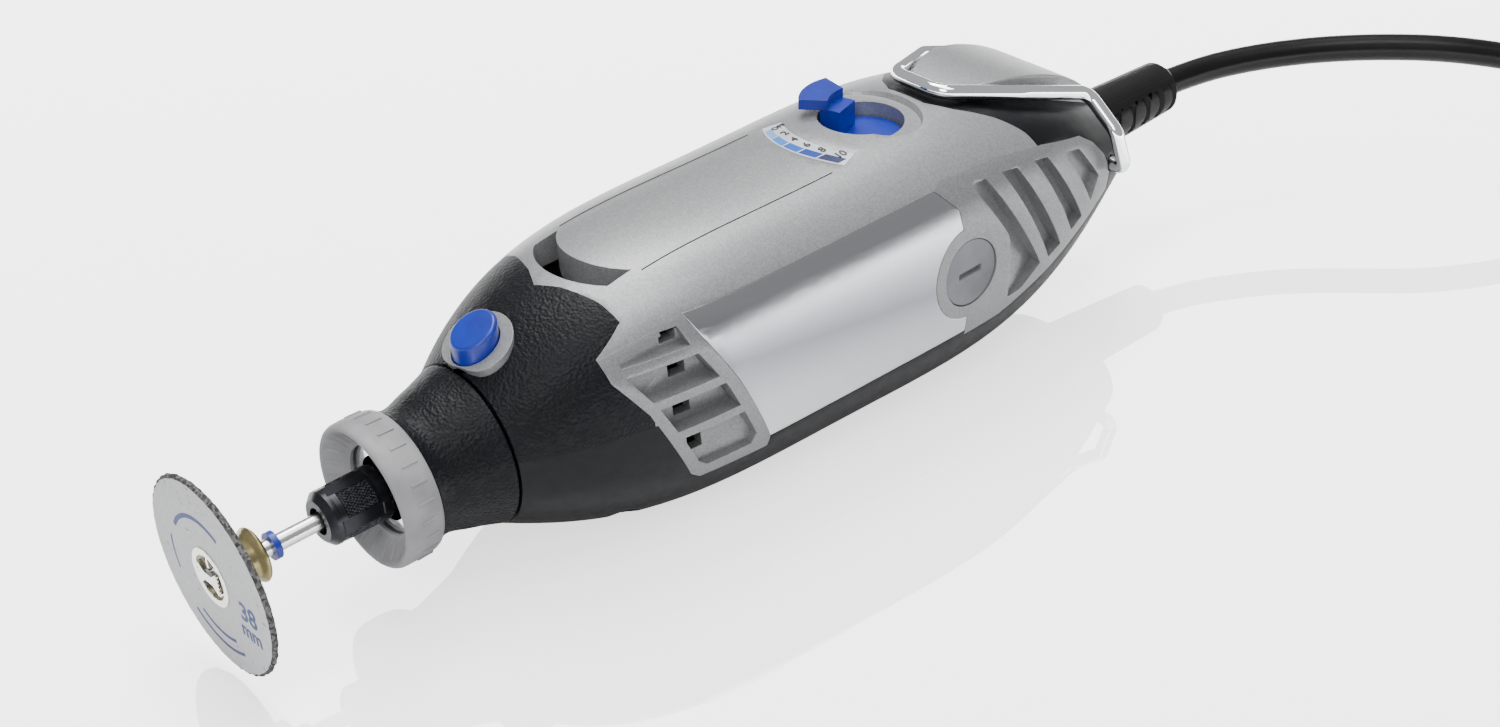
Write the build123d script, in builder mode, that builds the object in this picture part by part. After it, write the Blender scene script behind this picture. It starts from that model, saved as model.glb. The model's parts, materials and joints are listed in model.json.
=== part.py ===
from build123d import *
import math
import os

# Mains rotary hobby tool with a quick-change cutting disc, in millimetres.
# Places inside the tool are given as (x, y, z): x runs back along the spindle from the disc's
# front face, y is the left-right distance and z the height above the spindle axis.

os.makedirs("parts", exist_ok=True)

# ---- attitude on the bench -------------------------------------------------------------
REST_TILT = 1.8          # degrees, nose a little lower than the tail
AXIS_HEIGHT = 20.7       # spindle axis above the bench, at the disc
HALF_LENGTH = 121.2      # puts the origin under the middle of the tool

TILT = math.radians(REST_TILT)
TOOL = Plane(
    origin=(-HALF_LENGTH, 0, AXIS_HEIGHT),
    x_dir=(math.cos(TILT), 0, math.sin(TILT)),
    z_dir=(-math.sin(TILT), 0, math.cos(TILT)),
)
SPINDLE = Axis(TOOL.origin, TOOL.x_dir)


def place(x, y, z):
    """A point of the tool in the part's frame."""
    return TOOL.from_local_coords((x, y, z))


def across(x, y=0, z=0):
    """Plane square to the spindle: sketch axes are y and z, facing the tail."""
    return Plane(origin=place(x, y, z), x_dir=(0, 1, 0), z_dir=TOOL.x_dir)


def beside(x=0, y=0, z=0):
    """Upright plane along the spindle: sketch axes are x and z, facing -y."""
    return Plane(origin=place(x, y, z), x_dir=TOOL.x_dir, z_dir=(0, -1, 0))


def above(x=0, y=0, z=0):
    """Plane over the spindle: sketch axes are x and y, facing up."""
    return Plane(origin=place(x, y, z), x_dir=TOOL.x_dir, z_dir=TOOL.z_dir)


# ---- driving dimensions ----------------------------------------------------------------
DISC_R = 19.0
DISC_T = 1.3
HUB_R = 5.6
HUB_HOLE_R = 4.3
SHANK_R = 1.5875
SLEEVE_BARREL_R = 4.2
SLEEVE_FLANGE_R = 5.2

NUT_FRONT = 21.2
NUT_BACK = 35.0
NUT_R = 5.2
SPINDLE_R = 3.95
FIT = 0.05               # radial running clearance

CAP_FRONT = 30.2
CAP_BACK = 38.3
CAP_R = 14.0
CAP_BORE_R = 9.4
INSERT_R = 9.3
GROOVE_X = 53.2

PARTING_Z = 3.2          # height of the joint between the two housing halves
BRUSH_X = 153.5
BRUSH_Z = 2.5
BOSS_R = 9.6
BRUSH_CAP_R = 6.9

BUTTON_X = 57.6
DIAL_X = 152.0
DIAL_R = 8.2
DIAL_TOP = 23.4

FRONT_SPACE_R = 13.0
SHAFT_R = 3.0
STATOR_R = 20.2
BORE_R = 12.8
CORE = (99.0, 131.0)
REAR_BEARING_R = 8.0

RELIEF_NECK_R = 6.0
BAIL_R = 1.5
BAIL_X = 203.0
BAIL_Z = 4.0

# Cross-sections of the housing: x, top, bottom, half width, squareness (2 is an ellipse).
STATIONS = [
    (53.2, 15.8, -15.8, 15.7, 2.05),
    (66.0, 23.2, -20.9, 21.4, 2.35),
    (82.0, 27.4, -24.4, 25.3, 2.6),
    (115.0, 28.2, -25.6, 27.7, 2.8),
    (152.0, 28.1, -26.2, 28.3, 2.8),
    (182.0, 24.0, -21.0, 26.2, 2.8),
    (211.0, 11.0, -7.0, 17.5, 2.5),
]
SECTION_POINTS = 8

# Flat seats of the side panels: y at the spindle's start, its growth along x and along z.
VENT_SEAT = (9.3, 0.124, -0.056)
PLATE_SEAT = (18.9, 0.035, -0.095)
REAR_SEAT = (42.0, -0.118, -0.11)
FIELD_FLOOR = 2.2        # sunk fields end this far above the seat


def finish(piece, name):
    """Labels one finished piece and writes its file."""
    piece.label = name
    export_step(piece, f"parts/{name}.step")
    return piece


# ---- shared solids ---------------------------------------------------------------------
def section_face(x, top, bottom, half_width, squareness):
    """One cross-section of the housing."""
    middle = (top + bottom) / 2
    half_height = (top - bottom) / 2
    outline = []
    for step in range(SECTION_POINTS):
        angle = 2 * math.pi * step / SECTION_POINTS
        c, s = math.cos(angle), math.sin(angle)
        y = half_width * math.copysign(abs(c) ** (2 / squareness), c)
        z = half_height * math.copysign(abs(s) ** (2 / squareness), s)
        outline.append((y, middle + z))
    with BuildSketch(across(x)) as face:
        with BuildLine():
            Spline(*outline, periodic=True)
        make_face()
    return face.sketch.faces()[0]


def housing_form():
    """The closed outer form of the housing."""
    with BuildPart() as form:
        loft(sections=[section_face(*station) for station in STATIONS])
    return form.part


def turned(*outline):
    """A solid of revolution about the spindle from (x, radius) points."""
    with BuildPart() as solid:
        with BuildSketch(beside()):
            with BuildLine():
                Polyline(*outline, close=True)
            make_face()
        revolve(axis=SPINDLE)
    return solid.part


def tube(x0, x1, outer, inner=0.0):
    """A round tube or bar along the spindle."""
    with BuildPart() as solid:
        with BuildSketch(across(x0)):
            Circle(outer)
            if inner:
                Circle(inner, mode=Mode.SUBTRACT)
        extrude(amount=x1 - x0)
    return solid.part


def side_prism(outline, side, near=12.0, far=40.0):
    """An x-z outline carried outward on one side: side is -1 or +1 along y."""
    with BuildPart() as solid:
        with BuildSketch(beside(y=side * near)):
            with BuildLine():
                Polyline(*outline, close=True)
            make_face()
        extrude(amount=-side * (far - near))
    return solid.part


def top_prism(outline, low, high):
    """An x-y outline carried upward."""
    with BuildPart() as solid:
        with BuildSketch(above(z=low)):
            with BuildLine():
                Polyline(*outline, close=True)
            make_face()
        extrude(amount=high - low)
    return solid.part


def seat_plane(side, base, along, rise, lift=0.0):
    """Plane of a panel's seat, facing outward; lift moves it outward."""
    facing = TOOL.x_dir * -along + Vector(0, side, 0) + TOOL.z_dir * -rise
    return Plane(origin=place(100, side * (base + along * 100 + lift), 0), z_dir=facing)


def beyond(solid, plane):
    """The part of a solid on the outward side of a plane."""
    with BuildPart() as kept:
        add(solid)
        split(bisect_by=plane, keep=Keep.TOP)
    return kept.part


def cavity():
    """Space for the motor, with a narrower end behind the rear bearing."""
    with BuildPart() as space:
        with BuildSketch(across(80.0, z=0.6)):
            RectangleRounded(41.2, 40.0, 12.0)
        extrude(amount=94.0)
        with BuildSketch(across(173.9, z=0.5)):
            RectangleRounded(34.0, 24.0, 8.0)
        extrude(amount=18.1)
    return space.part


OUTER = housing_form()
MOTOR_SPACE = cavity()
BENCH = Plane.XY


# ---- cutting disc and mandrel ----------------------------------------------------------
def cutting_disc():
    with BuildPart() as disc:
        with BuildSketch(across(0)):
            Circle(DISC_R)
            Circle(HUB_R - 0.4, mode=Mode.SUBTRACT)
        extrude(amount=DISC_T)
    return finish(disc.part, "cutting_disc")


def disc_hub():
    """Pressed eyelet: a thin ring on each face joined through the disc."""
    hub = turned(
        (-0.25, HUB_HOLE_R), (-0.25, HUB_R), (0, HUB_R), (0, HUB_R - 0.4),
        (DISC_T, HUB_R - 0.4), (DISC_T, HUB_R), (DISC_T + 0.25, HUB_R),
        (DISC_T + 0.25, HUB_HOLE_R),
    )
    return finish(hub, "disc_hub")


def mandrel():
    """Shank with the flat bow-tie head that holds the disc."""
    with BuildPart() as pin:
        with BuildSketch(across(-0.6)):
            with BuildLine():
                Polyline(
                    (-3.4, -2.0), (-1.3, -0.9), (1.3, -0.9), (3.4, -2.0),
                    (3.4, 2.0), (1.3, 0.9), (-1.3, 0.9), (-3.4, 2.0), close=True,
                )
            make_face()
        extrude(amount=1.0)
        with BuildSketch(across(-0.2)):
            Circle(SHANK_R)
        extrude(amount=31.2)
    return finish(pin.part, "mandrel")


def release_sleeve():
    """Spool that is pushed back to free the disc."""
    sleeve = turned(
        (DISC_T + 0.3, SHANK_R + FIT), (DISC_T + 0.3, SLEEVE_BARREL_R), (7.0, SLEEVE_BARREL_R),
        (7.9, SLEEVE_FLANGE_R - 0.3), (8.4, SLEEVE_FLANGE_R), (8.9, SLEEVE_FLANGE_R - 0.3),
        (9.1, SLEEVE_BARREL_R), (8.2, 3.0), (3.0, 3.0), (3.0, SHANK_R + FIT),
    )
    return finish(sleeve, "release_sleeve")


def mandrel_ring():
    return finish(tube(11.4, 12.6, 2.6, SHANK_R), "mandrel_ring")


def coil_spring(name, axis_plane, length, radius, wire_r, turns):
    """A closed helical spring along a plane's normal."""
    with BuildPart() as spring:
        with BuildLine() as path:
            Helix(
                pitch=length / turns, height=length, radius=radius,
                center=axis_plane.origin, direction=axis_plane.z_dir,
            )
        with BuildSketch(Plane(origin=path.line @ 0, z_dir=path.line % 0)):
            Circle(wire_r)
        sweep(is_frenet=True)
    return finish(spring.part, name)


# ---- collet, nut and nose ---------------------------------------------------------------
def collet():
    """Split collet for a 3.2 mm shank."""
    with BuildPart() as jaws:
        add(turned((22.2, SHANK_R), (22.2, 2.2), (24.2, 3.1), (25.0, 2.6), (31.0, 2.6), (31.0, SHANK_R)))
        for turn in range(2):
            with BuildSketch(across(22.0).rotated((0, 0, 45 + 90 * turn))):
                Rectangle(7, 0.4)
            extrude(amount=6.5, mode=Mode.SUBTRACT)
    return finish(jaws.part, "collet")


def collet_nut():
    """Knurled nut with a chamfered nose, bored for the spindle thread and the collet cone."""
    nut = turned(
        (NUT_FRONT, 2.4), (NUT_FRONT, 3.9), (NUT_FRONT + 1.2, NUT_R), (33.2, NUT_R),
        (33.6, NUT_R - 0.5), (NUT_BACK, NUT_R - 0.5), (NUT_BACK, SPINDLE_R + FIT),
        (25.0, SPINDLE_R + FIT), (24.4, 3.3), (22.4, 2.4),
    )
    return finish(nut, "collet_nut")


def nose_cap():
    """Ring with a dished front face, screwed on the nose."""
    with BuildPart() as cap:
        add(turned(
            (CAP_FRONT + 0.8, 12.2), (CAP_FRONT, 13.0), (CAP_FRONT + 0.2, 13.6), (CAP_FRONT + 1.0, CAP_R),
            (CAP_BACK - 0.8, CAP_R - 0.3), (CAP_BACK, CAP_R - 0.8), (CAP_BACK, CAP_BORE_R),
            (34.2, CAP_BORE_R), (34.2, 8.7), (33.6, 8.7),
        ))
        for turn in range(12):
            with BuildSketch(across(CAP_FRONT - 0.1).rotated((0, 0, 30 * turn))):
                with Locations((CAP_R - 0.1, 0)):
                    Rectangle(1.0, 0.5)
            extrude(amount=5.5, mode=Mode.SUBTRACT)
    return finish(cap.part, "nose_cap")


def nose_insert():
    """Threaded steel nose tube that carries the cap and is moulded into the collar."""
    with BuildPart() as insert:
        add(tube(34.6, 60.0, INSERT_R, 6.3))
        add(button_post(1.7, 4, 12), mode=Mode.SUBTRACT)
    return finish(insert.part, "nose_insert")


def nose_collar():
    """Flared rubber collar from the cap to the groove."""
    with BuildPart() as collar:
        with BuildSketch(beside()):
            with BuildLine():
                Polyline((CAP_BACK + 0.3, INSERT_R), (CAP_BACK + 0.3, 12.9))
                Spline(
                    (CAP_BACK + 0.3, 12.9), (41.0, 12.3), (45.0, 13.2), (52.6, 15.6),
                    tangents=((1, -0.4), (1, 0.36)),
                )
                Polyline((52.6, 15.6), (52.9, 14.8), (GROOVE_X - 0.1, 14.8), (GROOVE_X - 0.1, INSERT_R))
                Line((GROOVE_X - 0.1, INSERT_R), (CAP_BACK + 0.3, INSERT_R))
            make_face()
        revolve(axis=SPINDLE)
    return finish(collar.part, "nose_collar")


# ---- side outlines, shared by the panels and the shells behind them ----------------------
VENT = [
    (70.2, 17.8), (87.4, 20.8), (89.3, 16.3), (95.3, 5.0), (102.0, -10.8), (101.6, -13.2),
    (86.3, -12.9), (84.2, -11.2), (76.3, 5.7), (71.0, 13.5),
]
VENT_FIELD = [
    (73.4, 17.0), (85.6, 19.2), (86.9, 15.3), (92.7, 5.0), (98.4, -8.2), (97.4, -10.2),
    (87.4, -10.2), (85.6, -8.6), (78.0, 6.8), (73.6, 13.8),
]
PLATE = [
    (87.4, 20.8), (148.6, 20.8), (152.6, 16.2), (152.6, -10.8), (102.0, -10.8), (95.3, 5.0),
    (89.3, 16.3),
]
REAR = [
    (151.0, 21.9), (167.2, 20.6), (179.8, 18.0), (193.3, 14.0), (197.4, 11.0), (200.6, 7.0),
    (201.8, 3.0), (200.6, -0.8), (191.2, -4.0), (178.4, -8.2), (163.0, -11.8), (152.6, -11.8),
    (152.6, 16.2), (148.6, 20.8),
]
REAR_FIELDS = [
    [(157.2, 19.0), (161.6, 18.6), (174.6, -5.0), (168.7, -8.4), (164.6, -8.4), (164.6, 6.0)],
    [(166.1, 18.2), (170.6, 17.4), (181.6, -3.9), (177.4, -5.0)],
    [(175.9, 16.6), (180.2, 15.6), (189.6, -1.4), (185.4, -2.6)],
    [(185.7, 14.2), (191.4, 12.4), (196.8, 4.4), (192.9, 0.6)],
]
VENT_HOLES = [(83.9, 17.9, 3.4, 2.7), (84.9, 11.1, 3.5, 3.6), (84.9, 2.8, 3.5, 3.2), (86.6, -5.6, 3.0, 3.0)]
VENT_RIBS = [14.6, 7.0, -0.8]


def boss_round(side, radius, near=12.0, far=40.0):
    """Round bar across the tool on the brush axis."""
    with BuildPart() as solid:
        with BuildSketch(beside(x=BRUSH_X, y=side * near, z=BRUSH_Z)):
            Circle(radius)
        extrude(amount=-side * (far - near))
    return solid.part


def vent_seat(side, lift=0.0):
    return beyond(side_prism(VENT, side), seat_plane(side, *VENT_SEAT, lift))


def plate_seat(side):
    """The nameplate's region, with a bite for the round brush boss."""
    return beyond(side_prism(PLATE, side) - boss_round(side, BOSS_R), seat_plane(side, *PLATE_SEAT))


def rear_seat(side):
    return beyond(side_prism(REAR, side) + boss_round(side, BOSS_R), seat_plane(side, *REAR_SEAT))


def vent_panel(side, name):
    """Louvred air-inlet panel with lengthwise ribs between its holes."""
    sunk = beyond(side_prism(VENT_FIELD, side), seat_plane(side, *VENT_SEAT, FIELD_FLOOR))
    for height in VENT_RIBS:
        rib = [(70, height - 0.9), (104, height - 0.9), (104, height + 0.9), (70, height + 0.9)]
        sunk = sunk - side_prism(rib, side)
    with BuildPart() as panel:
        add(OUTER & vent_seat(side))
        add(sunk, mode=Mode.SUBTRACT)
        for x, z, length, height in VENT_HOLES:
            with BuildSketch(beside(x=x, y=side * 12, z=z)):
                Rectangle(length, height)
            extrude(amount=-side * 28, mode=Mode.SUBTRACT)
    return finish(panel.part, name)


def nameplate(side, name):
    """Plain curved metal plate on a flat seat."""
    return finish(OUTER & plate_seat(side), name)


def rear_panel(side, name):
    """Ribbed rear panel with the brush boss."""
    with BuildPart() as panel:
        add(OUTER & rear_seat(side))
        for field in REAR_FIELDS:
            floor = seat_plane(side, *REAR_SEAT, FIELD_FLOOR)
            add(beyond(side_prism(field, side) - boss_round(side, BOSS_R), floor), mode=Mode.SUBTRACT)
        add(boss_round(side, BRUSH_CAP_R + 0.15, 25.35), mode=Mode.SUBTRACT)
        add(boss_round(side, 5.05), mode=Mode.SUBTRACT)
        with BuildSketch(beside(x=BAIL_X, y=side * 12, z=BAIL_Z)):
            Circle(BAIL_R + 0.3)
        extrude(amount=-side * 28, mode=Mode.SUBTRACT)
    return finish(panel.part, name)


# ---- housing ----------------------------------------------------------------------------
GRIP_TOP = [
    (50, -40), (50, 40), (77.0, 40), (77.0, 17.0), (76.3, 12.4), (73.7, 4.6), (71.4, 0),
    (73.7, -4.6), (76.3, -12.4), (77.0, -17.0), (77.0, -40),
]
GRIP_SIDE = [(50, -2), (50, 40), (80, 40), (80, 23.4), (76.4, 21.6), (70.2, 17.8), (70.2, -2)]
GRIP_LOW = [(50, -2), (50, 18.0), (70.2, 17.8), (71.0, 13.5), (76.3, 5.7), (79.6, -2)]
SHELL_END = [
    (164.5, -5), (164.5, 5), (167.5, 10), (173.5, 15.5), (177.5, 20), (179.5, 24), (179.5, 40),
    (230, 40), (230, -40), (179.5, -40), (179.5, -24), (177.5, -20), (173.5, -15.5), (167.5, -10),
]
SCREWS = [(74.0, -15.2), (74.0, 15.2), (141.0, -15.5), (141.0, 15.5), (186.0, 0.0)]
SCREW_SEAT_Z = -9.0
SCREW_LENGTH = 16.0
SCREW_R = 1.5
SCREW_WELL_R = 3.2
SCREW_BOSS_R = 4.2


def button_post(radius, low, high):
    """Upright round bar at the shaft-lock button."""
    with BuildPart() as solid:
        with BuildSketch(above(x=BUTTON_X, z=low)):
            Circle(radius)
        extrude(amount=high - low)
    return solid.part


BEZEL = Plane(
    origin=place(BUTTON_X, 0, 18.6), x_dir=(0, 1, 0), z_dir=TOOL.x_dir * -0.42 + TOOL.z_dir * 0.91
)


def bezel_prism(low, high):
    """Egg-shaped outline around the button, square to the sloping grip."""
    with BuildPart() as solid:
        with BuildSketch(BEZEL.offset(low)):
            with BuildLine():
                Spline((0, 5.2), (5.8, 3.4), (7.4, -1.4), (0, -7.6), (-7.4, -1.4), (-5.8, 3.4), periodic=True)
            make_face()
        extrude(amount=high - low)
    return solid.part


GRIP_REGION = (
    top_prism(GRIP_TOP, PARTING_Z, 40)
    & (side_prism(GRIP_SIDE, 1, -40, 40) + side_prism(GRIP_LOW, 1, -40, 40))
)
SIDE_SEATS = []
for side in (-1, 1):
    SIDE_SEATS += [vent_seat(side), plate_seat(side), rear_seat(side)]


def screw_bars(radius, low, high):
    """Upright bars at the five housing screws."""
    with BuildPart() as solid:
        for x, y in SCREWS:
            with BuildSketch(above(x=x, y=y, z=low)):
                Circle(radius)
            extrude(amount=high - low)
    return solid.part


def inner_ribs():
    """Ribs that grip the stator and the rear bearing, and the screw bosses."""
    ribs = tube(101.0, 103.0, 40.0, STATOR_R) + tube(127.0, 129.0, 40.0, STATOR_R)
    ribs = ribs + tube(167.0, 171.0, 40.0, REAR_BEARING_R)
    return ribs + (screw_bars(SCREW_BOSS_R, -40, 40) - tube(60, 100, 30))


def shell_blank():
    """Outer form with the motor space, the nose bores and the panel seats taken out."""
    with BuildPart() as blank:
        add(OUTER)
        add(MOTOR_SPACE - inner_ribs(), mode=Mode.SUBTRACT)
        add(tube(50, 60, INSERT_R), mode=Mode.SUBTRACT)
        add(tube(59.9, 81, FRONT_SPACE_R), mode=Mode.SUBTRACT)
        add(tube(*CORE, STATOR_R), mode=Mode.SUBTRACT)
        for seat in SIDE_SEATS:
            add(seat, mode=Mode.SUBTRACT)
        for side in (-1, 1):
            for x, z, length, height in VENT_HOLES:
                with BuildSketch(beside(x=x, y=side * 12, z=z)):
                    Rectangle(length + 0.8, height + 0.8)
                extrude(amount=-side * 28, mode=Mode.SUBTRACT)
            add(boss_round(side, 5.05, 14, 40), mode=Mode.SUBTRACT)
        add(tube(198, 214, RELIEF_NECK_R), mode=Mode.SUBTRACT)
    return blank.part


BLANK = shell_blank()


def grip_upper():
    """Leather-grain front of the housing above the parting line."""
    with BuildPart() as grip:
        add(BLANK & GRIP_REGION)
        add(bezel_prism(-2.0, 12.0), mode=Mode.SUBTRACT)
        add(button_post(4.6, 0, 40), mode=Mode.SUBTRACT)
        add(screw_bars(SCREW_R, PARTING_Z - 1, SCREW_SEAT_Z + SCREW_LENGTH + 0.5), mode=Mode.SUBTRACT)
    return finish(grip.part, "grip_upper")


def button_bezel():
    """Silver oval around the shaft-lock button, standing a little proud."""
    with BuildPart() as bezel:
        add(bezel_prism(-2.0, 0.6))
        add(button_post(4.6, 0, 40), mode=Mode.SUBTRACT)
    return finish(bezel.part, "button_bezel")


def vent_slot():
    """Curved air slot across the top of the upper shell."""
    with BuildPart() as solid:
        with BuildSketch(above(z=15)):
            with BuildLine():
                front = ThreePointArc((79.6, -10.8), (75.0, 0), (79.6, 10.8))
                Line(front @ 1, (85.2, 10.8))
                back = ThreePointArc((85.2, 10.8), (80.2, 0), (85.2, -10.8))
                Line(back @ 1, front @ 0)
            make_face()
        extrude(amount=20)
    return solid.part


def dial_dish():
    """Finger dish with the deeper round well of the speed dial."""
    with BuildPart() as solid:
        with BuildSketch(above(x=DIAL_X + 2.8, z=26.4)):
            Ellipse(7.8, 11.4)
        extrude(amount=4, taper=-30)
        with BuildSketch(above(x=DIAL_X, z=10)):
            Circle(DIAL_R + 0.4)
        extrude(amount=20)
    return solid.part


LABEL_SEAT_Z = 26.7


def label_prism(low, high, grow=0.0):
    """Arched strip in front of the dial."""
    with BuildPart() as solid:
        with BuildSketch(above(z=low)):
            with BuildLine():
                outer = ThreePointArc((136.4 - grow, -11.8 - grow), (132.2 - grow, 0), (136.4 - grow, 11.8 + grow))
                Line(outer @ 1, (140.6 + grow, 10.4 + grow))
                inner = ThreePointArc((140.6 + grow, 10.4 + grow), (137.4 + grow, 0), (140.6 + grow, -10.4 - grow))
                Line(inner @ 1, outer @ 0)
            make_face()
        extrude(amount=high - low)
    return solid.part


def upper_shell():
    """Silver upper shell with the air slot and the dial dish."""
    with BuildPart() as shell:
        add(BLANK)
        split(bisect_by=above(z=PARTING_Z), keep=Keep.TOP)
        add(top_prism(SHELL_END, -5, 40), mode=Mode.SUBTRACT)
        add(GRIP_REGION, mode=Mode.SUBTRACT)
        add(vent_slot(), mode=Mode.SUBTRACT)
        add(dial_dish(), mode=Mode.SUBTRACT)
        add(label_prism(LABEL_SEAT_Z, 40), mode=Mode.SUBTRACT)
        add(screw_bars(SCREW_R, PARTING_Z - 1, SCREW_SEAT_Z + SCREW_LENGTH + 0.5), mode=Mode.SUBTRACT)
    return finish(shell.part, "upper_shell")


def lower_shell():
    """Charcoal lower half, flattened where it lies on the bench, with four screw wells."""
    with BuildPart() as shell:
        add(BLANK)
        split(bisect_by=above(z=PARTING_Z), keep=Keep.BOTTOM)
        split(bisect_by=BENCH, keep=Keep.TOP)
        for x, y in SCREWS:
            with BuildSketch(above(x=x, y=y, z=-30)):
                Circle(SCREW_WELL_R)
            extrude(amount=30 + SCREW_SEAT_Z, mode=Mode.SUBTRACT)
        add(screw_bars(SCREW_R, -30, PARTING_Z + 1), mode=Mode.SUBTRACT)
        add(hanger_holes(), mode=Mode.SUBTRACT)
    return finish(shell.part, "lower_shell")


def tail_cap():
    """Charcoal upper tail behind the silver shell, around the dome and the cord entry."""
    with BuildPart() as cap:
        add(BLANK)
        split(bisect_by=above(z=PARTING_Z), keep=Keep.TOP)
        add(top_prism(SHELL_END, -5, 40), mode=Mode.INTERSECT)
        add(hanger_holes(), mode=Mode.SUBTRACT)
        add(beyond(dome_form(), DOME_SEAT), mode=Mode.SUBTRACT)
        add(screw_bars(SCREW_R, PARTING_Z - 1, SCREW_SEAT_Z + SCREW_LENGTH + 0.5), mode=Mode.SUBTRACT)
    return finish(cap.part, "tail_cap")


# ---- tail ---------------------------------------------------------------------------------
def hanger_holes():
    """Blind cross holes for the two ends of the wire hanger."""
    with BuildPart() as solid:
        for side in (-1, 1):
            with BuildSketch(beside(x=BAIL_X, y=side * 18, z=BAIL_Z)):
                Circle(BAIL_R + 0.15)
            extrude(amount=-side * 12)
    return solid.part


DOME_SEAT = Plane(origin=place(171.5, 0, 22.6), z_dir=TOOL.x_dir * 0.4 + TOOL.z_dir)


def dome_form():
    """Raised tongue on top of the tail, between the legs of the hanger."""
    with BuildPart() as solid:
        with BuildSketch(beside(y=14)):
            with BuildLine():
                top = Spline((171.5, 27.3), (180.0, 28.0), (190.0, 26.0), (201.0, 21.0), (212.0, 11.0))
                Polyline(top @ 1, (212.0, 4.0), (171.5, 4.0), top @ 0)
            make_face()
        extrude(amount=28)
        with BuildSketch(above(z=0)):
            with BuildLine():
                near = Spline((171.5, -6.0), (183.0, -10.6), (198.0, -10.8), (212.0, -8.2))
                end = Line(near @ 1, (212.0, 8.2))
                far = Spline((212.0, 8.2), (198.0, 10.8), (183.0, 10.6), (171.5, 6.0))
                Line(far @ 1, near @ 0)
            make_face()
        extrude(amount=40, mode=Mode.INTERSECT)
    return solid.part


def tail_dome():
    with BuildPart() as dome:
        add(beyond(dome_form(), DOME_SEAT))
        add(top_prism(SHELL_END, -5, 40), mode=Mode.INTERSECT)
        add(tube(198, 214, RELIEF_NECK_R), mode=Mode.SUBTRACT)
    return finish(dome.part, "tail_dome")


def hanger_bail():
    """One bent wire: two pivot ends, two legs and the arched front."""
    half = [(203, 20.5, 4), (203, 24.3, 4), (201.8, 22.7, 12.4), (201.8, 14.8, 18.8), (183, 13.9, 25.6), (167.6, 6.5, 29.0)]
    route = [place(x, -y, z) for x, y, z in half] + [place(x, y, z) for x, y, z in reversed(half)]
    bends = [1.8, 3.2, 3.2, 6.0, 5.0, 5.0, 6.0, 3.2, 3.2, 1.8]
    with BuildPart() as wire:
        with BuildLine() as path:
            FilletPolyline(*route, radius=bends)
        with BuildSketch(Plane(origin=path.line @ 0, z_dir=path.line % 0)):
            Circle(BAIL_R)
        sweep()
    return finish(wire.part, "hanger_bail")


RELIEF_START = 199.0
RELIEF_END = 243.2
RELIEF_R = (6.9, 5.8)


def strain_relief():
    """Tapered rubber sleeve with two rows of staggered slots and a neck held in the tail."""
    with BuildPart() as relief:
        add(turned(
            (RELIEF_START, 0), (RELIEF_START, RELIEF_NECK_R), (213.0, RELIEF_NECK_R), (213.0, RELIEF_R[0]),
            (RELIEF_END - 1.2, RELIEF_R[1]), (RELIEF_END, RELIEF_R[1] - 0.9), (RELIEF_END, 0),
        ))
        for step in range(5):
            for quarter in range(4):
                x = 217.5 + 4.8 * step + 2.4 * (quarter % 2)
                with BuildSketch(across(x).rotated((0, 0, 45 + 90 * quarter))):
                    with Locations((6.6, 0)):
                        Rectangle(3.2, 6.4)
                extrude(amount=1.5, mode=Mode.SUBTRACT)
    return finish(relief.part, "strain_relief")


# ---- controls -----------------------------------------------------------------------------
LEVER_AT_OFF = 108.0     # degrees from the tail direction, seen from above


def speed_dial():
    """Blue dial with a stem and a raised thumb tab that reaches over the well's rim."""
    with BuildPart() as dial:
        with BuildSketch(above(x=DIAL_X, z=DIAL_TOP - 3.0)):
            Circle(DIAL_R)
        extrude(amount=3.0)
        with BuildSketch(above(x=DIAL_X, z=17.2)):
            Circle(3.0)
        extrude(amount=DIAL_TOP - 17.2)
        with BuildSketch(above(x=DIAL_X, z=DIAL_TOP - 0.1).rotated((0, 0, LEVER_AT_OFF))):
            with Locations((5.4, 0)):
                Rectangle(4.4, 6.4)
        extrude(amount=28.8 - DIAL_TOP + 0.2)
        with BuildSketch(above(x=DIAL_X, z=28.8).rotated((0, 0, LEVER_AT_OFF))):
            with BuildLine():
                rim = ThreePointArc((10.8, -5.6), (12.4, 0), (10.8, 5.6))
                Line(rim @ 1, (5.6, 3.2))
                heel = ThreePointArc((5.6, 3.2), (6.2, 0), (5.6, -3.2))
                Line(heel @ 1, rim @ 0)
            make_face()
        extrude(amount=2.2)
    return finish(dial.part, "speed_dial")


def speed_label():
    """Scale label let into the shell in front of the dial."""
    return finish(OUTER & label_prism(LABEL_SEAT_Z, 40, -0.1), "speed_label")


LOCK_R = 4.4
LOCK_BASE_Z = 16.2
LOCK_PIN_Z = 6.2


def lock_button():
    """Blue push button with a sloping top, a collar inside and the lock pin's socket."""
    with BuildPart() as button:
        with BuildSketch(above(x=BUTTON_X, z=LOCK_BASE_Z)):
            Circle(LOCK_R)
        extrude(amount=9)
        slope = Plane(origin=place(BUTTON_X, 0, 22.6), x_dir=(0, 1, 0), z_dir=place(-0.42, 0, 0.91) - TOOL.origin)
        split(bisect_by=slope, keep=Keep.BOTTOM)
        fillet(button.faces().sort_by(Axis.Z)[-1].edges(), 0.7)
    return finish(button.part, "lock_button")


def lock_pin():
    with BuildPart() as pin:
        with BuildSketch(above(x=BUTTON_X, z=LOCK_PIN_Z)):
            Circle(1.5)
        extrude(amount=LOCK_BASE_Z - LOCK_PIN_Z)
    return finish(pin.part, "lock_pin")


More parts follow.
